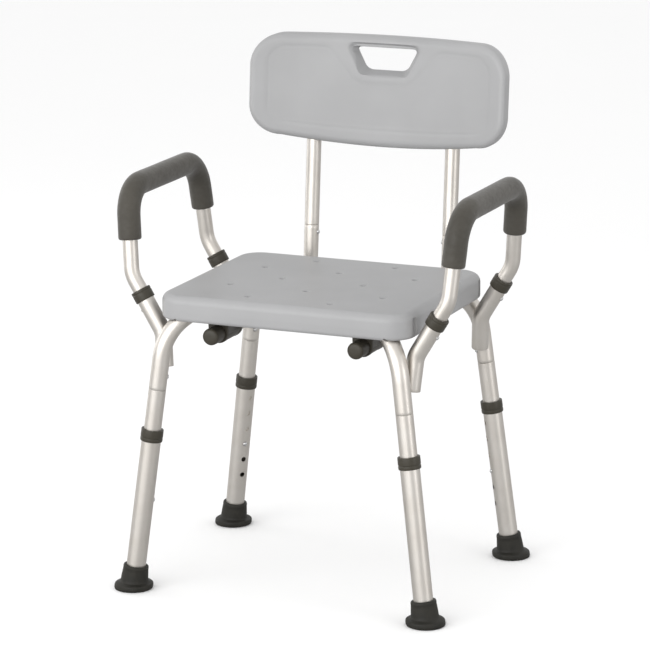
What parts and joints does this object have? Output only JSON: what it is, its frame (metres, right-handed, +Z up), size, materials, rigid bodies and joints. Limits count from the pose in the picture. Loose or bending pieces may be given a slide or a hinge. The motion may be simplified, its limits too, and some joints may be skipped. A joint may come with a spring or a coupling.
{
  "type": "shower stool",
  "caption": "Shower stool: hollow moulded seat and bowed backrest on a diagonal tube frame, with telescopic legs on rubber feet and lift-off foam-gripped armrests.",
  "frame": {"origin": "on the floor, under the middle of the stool's box", "axes": "+Z up; +Y towards the backrest, so the sitter faces -Y; +X to the right as seen from the front"},
  "size_m": [0.5486, 0.4772, 0.77],
  "materials": {
    "seat_plastic": "fine-textured blow-moulded polyethylene",
    "aluminium": "satin anodised, champagne silver",
    "grip_foam": "closed-cell foam, matte with a soft sheen",
    "dark_plastic": "moulded, satin",
    "foot_rubber": "moulded rubber, matte",
    "button_steel": "plain spring steel"
  },
  "bodies": {
    "stool_frame": {"seat_panel": "seat_plastic", "cross_tube_front_left": "aluminium", "cross_tube_front_right": "aluminium", "frame_bolt_front_left": "button_steel", "arm_socket_front_left": "aluminium", "arm_collar_front_left": "dark_plastic", "upper_leg_front_left": "aluminium", "tube_clamp_front_left": "dark_plastic", "frame_bolt_rear_left": "button_steel", "arm_socket_rear_left": "aluminium", "arm_collar_rear_left": "dark_plastic", "upper_leg_rear_left": "aluminium", "tube_clamp_rear_left": "dark_plastic", "frame_bolt_front_right": "button_steel", "arm_socket_front_right": "aluminium", "arm_collar_front_right": "dark_plastic", "upper_leg_front_right": "aluminium", "tube_clamp_front_right": "dark_plastic", "frame_bolt_rear_right": "button_steel", "arm_socket_rear_right": "aluminium", "arm_collar_rear_right": "dark_plastic", "upper_leg_rear_right": "aluminium", "tube_clamp_rear_right": "dark_plastic", "back_tube_left": "aluminium", "back_tube_cap_left": "dark_plastic", "back_tube_right": "aluminium", "back_tube_cap_right": "dark_plastic"},
    "leg_front_left": {"lower_leg_front_left": "aluminium", "leg_collar_front_left": "dark_plastic", "foot_front_left": "foot_rubber"},
    "leg_rear_left": {"lower_leg_rear_left": "aluminium", "leg_collar_rear_left": "dark_plastic", "foot_rear_left": "foot_rubber"},
    "leg_front_right": {"lower_leg_front_right": "aluminium", "leg_collar_front_right": "dark_plastic", "foot_front_right": "foot_rubber"},
    "leg_rear_right": {"lower_leg_rear_right": "aluminium", "leg_collar_rear_right": "dark_plastic", "foot_rear_right": "foot_rubber"},
    "armrest_left": {"arm_tube_left": "aluminium", "arm_grip_left": "grip_foam"},
    "armrest_right": {"arm_tube_right": "aluminium", "arm_grip_right": "grip_foam"},
    "back": {"backrest_panel": "seat_plastic", "back_post_left": "aluminium", "back_post_right": "aluminium"},
    "height_button_front_left": {"leg_height_clip_front_left": "button_steel"},
    "joint_button_front_left": {"leg_joint_clip_front_left": "button_steel"},
    "arm_button_front_left": {"arm_clip_front_left": "button_steel"},
    "height_button_rear_left": {"leg_height_clip_rear_left": "button_steel"},
    "joint_button_rear_left": {"leg_joint_clip_rear_left": "button_steel"},
    "arm_button_rear_left": {"arm_clip_rear_left": "button_steel"},
    "height_button_front_right": {"leg_height_clip_front_right": "button_steel"},
    "joint_button_front_right": {"leg_joint_clip_front_right": "button_steel"},
    "arm_button_front_right": {"arm_clip_front_right": "button_steel"},
    "height_button_rear_right": {"leg_height_clip_rear_right": "button_steel"},
    "joint_button_rear_right": {"leg_joint_clip_rear_right": "button_steel"},
    "arm_button_rear_right": {"arm_clip_rear_right": "button_steel"},
    "back_button_left": {"back_clip_left": "button_steel"},
    "back_button_right": {"back_clip_right": "button_steel"}
  },
  "joints": [
    {"name": "leg_height_front_left", "type": "slide", "parent": "stool_frame", "child": "leg_front_left", "axis": [-0.1249, -0.0416, -0.9913], "range_m": [-0.0508, 0.0762], "deforming": ["leg_height_clip_front_left"]},
    {"name": "leg_height_rear_left", "type": "slide", "parent": "stool_frame", "child": "leg_rear_left", "axis": [-0.1249, 0.0416, -0.9913], "range_m": [-0.0508, 0.0762], "deforming": ["leg_height_clip_rear_left"]},
    {"name": "leg_height_front_right", "type": "slide", "parent": "stool_frame", "child": "leg_front_right", "axis": [0.1249, -0.0416, -0.9913], "range_m": [-0.0508, 0.0762], "deforming": ["leg_height_clip_front_right"]},
    {"name": "leg_height_rear_right", "type": "slide", "parent": "stool_frame", "child": "leg_rear_right", "axis": [0.1249, 0.0416, -0.9913], "range_m": [-0.0508, 0.0762], "deforming": ["leg_height_clip_rear_right"]},
    {"name": "armrest_lift_left", "type": "slide", "parent": "stool_frame", "child": "armrest_left", "axis": [-0.515, 0, 0.8572], "range_m": [0, 0.066], "deforming": ["arm_clip_front_left", "arm_clip_rear_left"]},
    {"name": "armrest_lift_right", "type": "slide", "parent": "stool_frame", "child": "armrest_right", "axis": [0.515, 0, 0.8572], "range_m": [0, 0.066], "deforming": ["arm_clip_front_right", "arm_clip_rear_right"]},
    {"name": "back_lift", "type": "slide", "parent": "stool_frame", "child": "back", "axis": [0, 0.0867, 0.9962], "range_m": [0, 0.06], "deforming": ["back_clip_left", "back_clip_right"]},
    {"name": "press_height_button_front_left", "type": "slide", "parent": "stool_frame", "child": "height_button_front_left", "axis": [-0.7815, -0.6114, 0.1241], "range_m": [0, 0.0045], "stiffness_N_per_m": 1500, "springref_m": -0.001},
    {"name": "press_joint_button_front_left", "type": "slide", "parent": "stool_frame", "child": "joint_button_front_left", "axis": [-0.7815, -0.6114, 0.1241], "range_m": [0, 0.0045], "stiffness_N_per_m": 1500, "springref_m": -0.001},
    {"name": "press_arm_button_front_left", "type": "slide", "parent": "armrest_left", "child": "arm_button_front_left", "axis": [0.8572, 0, 0.515], "range_m": [0, 0.0045], "stiffness_N_per_m": 1500, "springref_m": -0.001},
    {"name": "press_height_button_rear_left", "type": "slide", "parent": "stool_frame", "child": "height_button_rear_left", "axis": [-0.7815, 0.6114, 0.1241], "range_m": [0, 0.0045], "stiffness_N_per_m": 1500, "springref_m": -0.001},
    {"name": "press_joint_button_rear_left", "type": "slide", "parent": "stool_frame", "child": "joint_button_rear_left", "axis": [-0.7815, 0.6114, 0.1241], "range_m": [0, 0.0045], "stiffness_N_per_m": 1500, "springref_m": -0.001},
    {"name": "press_arm_button_rear_left", "type": "slide", "parent": "armrest_left", "child": "arm_button_rear_left", "axis": [0.8572, 0, 0.515], "range_m": [0, 0.0045], "stiffness_N_per_m": 1500, "springref_m": -0.001},
    {"name": "press_height_button_front_right", "type": "slide", "parent": "stool_frame", "child": "height_button_front_right", "axis": [0.7815, -0.6114, 0.1241], "range_m": [0, 0.0045], "stiffness_N_per_m": 1500, "springref_m": -0.001},
    {"name": "press_joint_button_front_right", "type": "slide", "parent": "stool_frame", "child": "joint_button_front_right", "axis": [0.7815, -0.6114, 0.1241], "range_m": [0, 0.0045], "stiffness_N_per_m": 1500, "springref_m": -0.001},
    {"name": "press_arm_button_front_right", "type": "slide", "parent": "armrest_right", "child": "arm_button_front_right", "axis": [-0.8572, 0, 0.515], "range_m": [0, 0.0045], "stiffness_N_per_m": 1500, "springref_m": -0.001},
    {"name": "press_height_button_rear_right", "type": "slide", "parent": "stool_frame", "child": "height_button_rear_right", "axis": [0.7815, 0.6114, 0.1241], "range_m": [0, 0.0045], "stiffness_N_per_m": 1500, "springref_m": -0.001},
    {"name": "press_joint_button_rear_right", "type": "slide", "parent": "stool_frame", "child": "joint_button_rear_right", "axis": [0.7815, 0.6114, 0.1241], "range_m": [0, 0.0045], "stiffness_N_per_m": 1500, "springref_m": -0.001},
    {"name": "press_arm_button_rear_right", "type": "slide", "parent": "armrest_right", "child": "arm_button_rear_right", "axis": [-0.8572, 0, 0.515], "range_m": [0, 0.0045], "stiffness_N_per_m": 1500, "springref_m": -0.001},
    {"name": "press_back_button_left", "type": "slide", "parent": "back", "child": "back_button_left", "axis": [-1, 0, 0], "range_m": [0, 0.0045], "stiffness_N_per_m": 1500, "springref_m": -0.001},
    {"name": "press_back_button_right", "type": "slide", "parent": "back", "child": "back_button_right", "axis": [1, 0, 0], "range_m": [0, 0.0045], "stiffness_N_per_m": 1500, "springref_m": -0.001}
  ]
}
